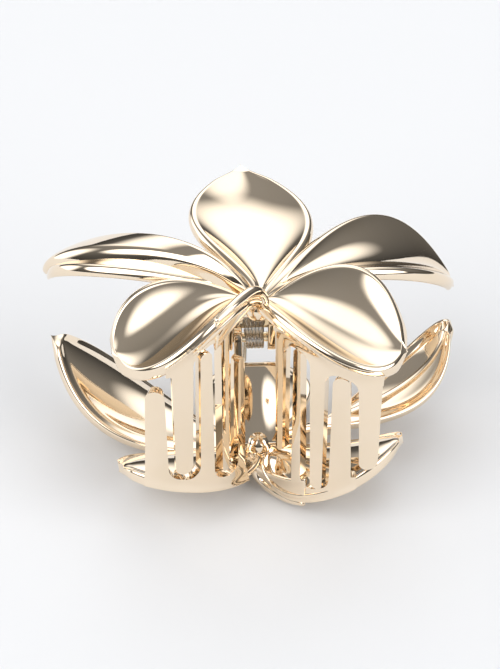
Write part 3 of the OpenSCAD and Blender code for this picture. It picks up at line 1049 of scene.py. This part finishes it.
# %% [markdown]
# # Torsion spring
#
# The spring is one length of wire: a straight leg under each thumb rest and a close
# coil round the pin between them. A path drawn by rule and a round section swept along
# it by geometry nodes give exactly that, and the coil's turns stay evenly spaced. On the
# real clip the legs press on different jaws and the wire winds up when the clip opens;
# here the wire is one still mesh that rides neither jaw.

# %% Wire tree
wire_tree = bpy.data.node_groups.new("wire along a path", "GeometryNodeTree")
sockets(
    wire_tree,
    [("Geometry", "Geometry"), ("Wire Radius", "Float"), ("Sides", "Int"), ("Finish", "Material")],
    [("Geometry", "Geometry")],
)
given = wire_tree.nodes.new("NodeGroupInput").outputs
section = node(
    wire_tree,
    "GeometryNodeCurvePrimitiveCircle",
    {"Resolution": given["Sides"], "Radius": given["Wire Radius"]},
)
swept = node(
    wire_tree,
    "GeometryNodeCurveToMesh",
    {"Curve": given["Geometry"], "Profile Curve": section.outputs["Curve"], "Fill Caps": True},
)
end_tree(wire_tree, swept.outputs["Mesh"], given["Finish"])
print("wire tree made of", len(wire_tree.nodes), "nodes")

# %% Path of the wire
WIRE, COIL_RADIUS, COIL_TURNS, PITCH = 0.9, 1.95, 5, 0.846
WIRE_SIDES, COIL_POINTS, LEG_POINTS = 24, 360, 14
LEG_END, LEG_SHARE = (9.5, 13.0), 0.985
side_x = (COIL_TURNS - 1) / 2 * PITCH


def leg_points(sign):
    """From the leg's tip to where it meets the coil, tangent to it."""
    reach = math.hypot(*LEG_END)
    lean = math.atan2(LEG_END[1], LEG_END[0]) + math.asin(COIL_RADIUS / reach)
    direction = np.array((math.cos(lean), math.sin(lean)))
    start = COIL_RADIUS * np.array((direction[1], -direction[0]))
    leg = direction * math.sqrt(reach * reach - COIL_RADIUS**2) * LEG_SHARE
    places = [start + leg * s for s in np.linspace(1, 0, LEG_POINTS)]
    return [(sign * side_x, back, sign * up) for back, up in places]


upper_leg, lower_leg = leg_points(1), leg_points(-1)
first_angle = math.atan2(upper_leg[-1][2], upper_leg[-1][1])
last_angle = math.atan2(lower_leg[-1][2], lower_leg[-1][1])
heading = np.array(upper_leg[-1][1:]) - np.array(upper_leg[-2][1:])
turning = 1 if upper_leg[-1][1] * heading[1] - upper_leg[-1][2] * heading[0] > 0 else -1
sweep = (last_angle - first_angle) * turning % (2 * math.pi) + 2 * math.pi * (COIL_TURNS - 1)
coil = []
for s in np.linspace(0, 1, COIL_POINTS)[1:-1]:
    angle = first_angle + turning * sweep * s
    coil.append((side_x - 2 * side_x * s, COIL_RADIUS * math.cos(angle), COIL_RADIUS * math.sin(angle)))
path_points = upper_leg + coil + lower_leg[::-1]

wire_curve = bpy.data.curves.new("wire path", "CURVE")
wire_curve.dimensions = "3D"
spline = wire_curve.splines.new("POLY")
spline.points.add(len(path_points) - 1)
for point, place in zip(spline.points, path_points):
    point.co = (*(float(v) * MM for v in place), 1)
wire_values = {"Wire Radius": WIRE / 2 * MM, "Sides": WIRE_SIDES, "Finish": SPRING_STEEL}
wire_mesh = grown("torsion_spring_wound", wire_curve, wire_tree, wire_values)
print("spring:", face_outwards(wire_mesh))
spring = bpy.data.objects.new(wire_mesh.name, wire_mesh)
bpy.context.collection.objects.link(spring)
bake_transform(spring)
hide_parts("torsion_spring")

# %% [markdown]
# # Floor, light and camera
#
# Mirror metal has no look of its own: it shows the room. A pale floor gives it the warm
# gold of its broad lit faces, large soft boxes give the white ones, and a dim room with
# nothing in it, beyond the boxes, gives the dark bands that make it read as metal.

# %% Floor
FLOOR_REACH = 3.0
floor_height = min(cad_low.z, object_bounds()[0].z)
corners = [(x * FLOOR_REACH, y * FLOOR_REACH, floor_height) for x, y in ((-1, -1), (1, -1), (1, 1), (-1, 1))]
floor_mesh = bpy.data.meshes.new("floor")
floor_mesh.from_pydata(corners, [], [(0, 1, 2, 3)])
floor = bpy.data.objects.new("floor", floor_mesh)
bpy.context.collection.objects.link(floor)
paper = bpy.data.materials.new("floor paper")
paper.use_nodes = True
paper_shader = paper.node_tree.nodes["Principled BSDF"]
paper_shader.inputs["Base Color"].default_value = (0.75, 0.755, 0.765, 1)
paper_shader.inputs["Roughness"].default_value = 0.9
floor_mesh.materials.append(paper)


# %% Soft boxes in a dim room
box_glow = bpy.data.node_groups.new("soft box", "ShaderNodeTree")
sockets(
    box_glow,
    [
        ("Look", "Vector"), ("Toward", "Vector"), ("Full Inside", "Float"),
        ("Gone Outside", "Float"), ("Brightness", "Float"),
    ],
    [("Glow", "Float")],
)
given = box_glow.nodes.new("NodeGroupInput").outputs
nearness = vectors(box_glow, "DOT_PRODUCT", given["Look"], given["Toward"])
fall_off = {
    "Value": nearness, "From Min": given["Gone Outside"],
    "From Max": given["Full Inside"], "To Max": given["Brightness"],
}
falling_off = node(box_glow, "ShaderNodeMapRange", fall_off, interpolation_type="SMOOTHSTEP")
node(box_glow, "NodeGroupOutput", {"Glow": falling_off.outputs["Result"]})

DIM_AT_HORIZON, DIM_OVERHEAD = 0.05, 0.32
# Degrees round the clip from its front, degrees up, inner and outer angle, brightness
BOXES = {
    "right front": (52, 31, 19, 29, 3.1),
    "left front": (-50, 42, 20, 31, 3.1),
    "low left": (-112, 10, 14, 30, 1.7),
    "behind": (178, 42, 16, 34, 1.5),
    "top right": (95, 76, 8, 24, 1.3),
}
room = bpy.data.worlds.new("dim room")
bpy.context.scene.world = room
room.use_nodes = True
tree = room.node_tree
look = node(tree, "ShaderNodeTexCoord").outputs["Generated"]
upward = node(tree, "ShaderNodeSeparateXYZ", {0: look}).outputs["Z"]
dim = node(tree, "ShaderNodeMapRange", {"Value": upward, "To Min": DIM_AT_HORIZON, "To Max": DIM_OVERHEAD})
glow = dim.outputs["Result"]
for name, (around, above, inner, outer, brightness) in BOXES.items():
    a, e = math.radians(around), math.radians(above)
    group = node(tree, "ShaderNodeGroup", node_tree=box_glow, label=name)
    tree.links.new(look, group.inputs["Look"])
    toward = (math.sin(a) * math.cos(e), -math.cos(a) * math.cos(e), math.sin(e))
    group.inputs["Toward"].default_value = toward
    group.inputs["Full Inside"].default_value = math.cos(math.radians(inner))
    group.inputs["Gone Outside"].default_value = math.cos(math.radians(outer))
    group.inputs["Brightness"].default_value = brightness
    glow = maths(tree, "ADD", glow, group.outputs["Glow"])
tree.nodes["Background"].inputs["Color"].default_value = (0.985, 0.99, 1.0, 1)
tree.links.new(glow, tree.nodes["Background"].inputs["Strength"])
print("room lit by", ", ".join(BOXES))

# %% Camera
camera_data = bpy.data.cameras.new("camera")
camera = bpy.data.objects.new("camera", camera_data)
bpy.context.collection.objects.link(camera)
bpy.context.scene.camera = camera
look_at = Vector((0, -15, 0)) * MM
distance, swing, rise = 491 * MM, math.radians(3.09), math.radians(36.82)
away = Vector((-math.sin(swing) * math.cos(rise), -math.cos(swing) * math.cos(rise), math.sin(rise)))
camera.location = look_at + away * distance
camera.rotation_mode = "QUATERNION"
camera.rotation_quaternion = away.to_track_quat("Z", "Y")
camera_data.sensor_width = 36
camera_data.lens = 132.1
camera_data.shift_x, camera_data.shift_y = -0.0124, 0.0689
camera_data.clip_start, camera_data.clip_end = 0.02, 20
bpy.context.scene.view_settings.view_transform = "Standard"
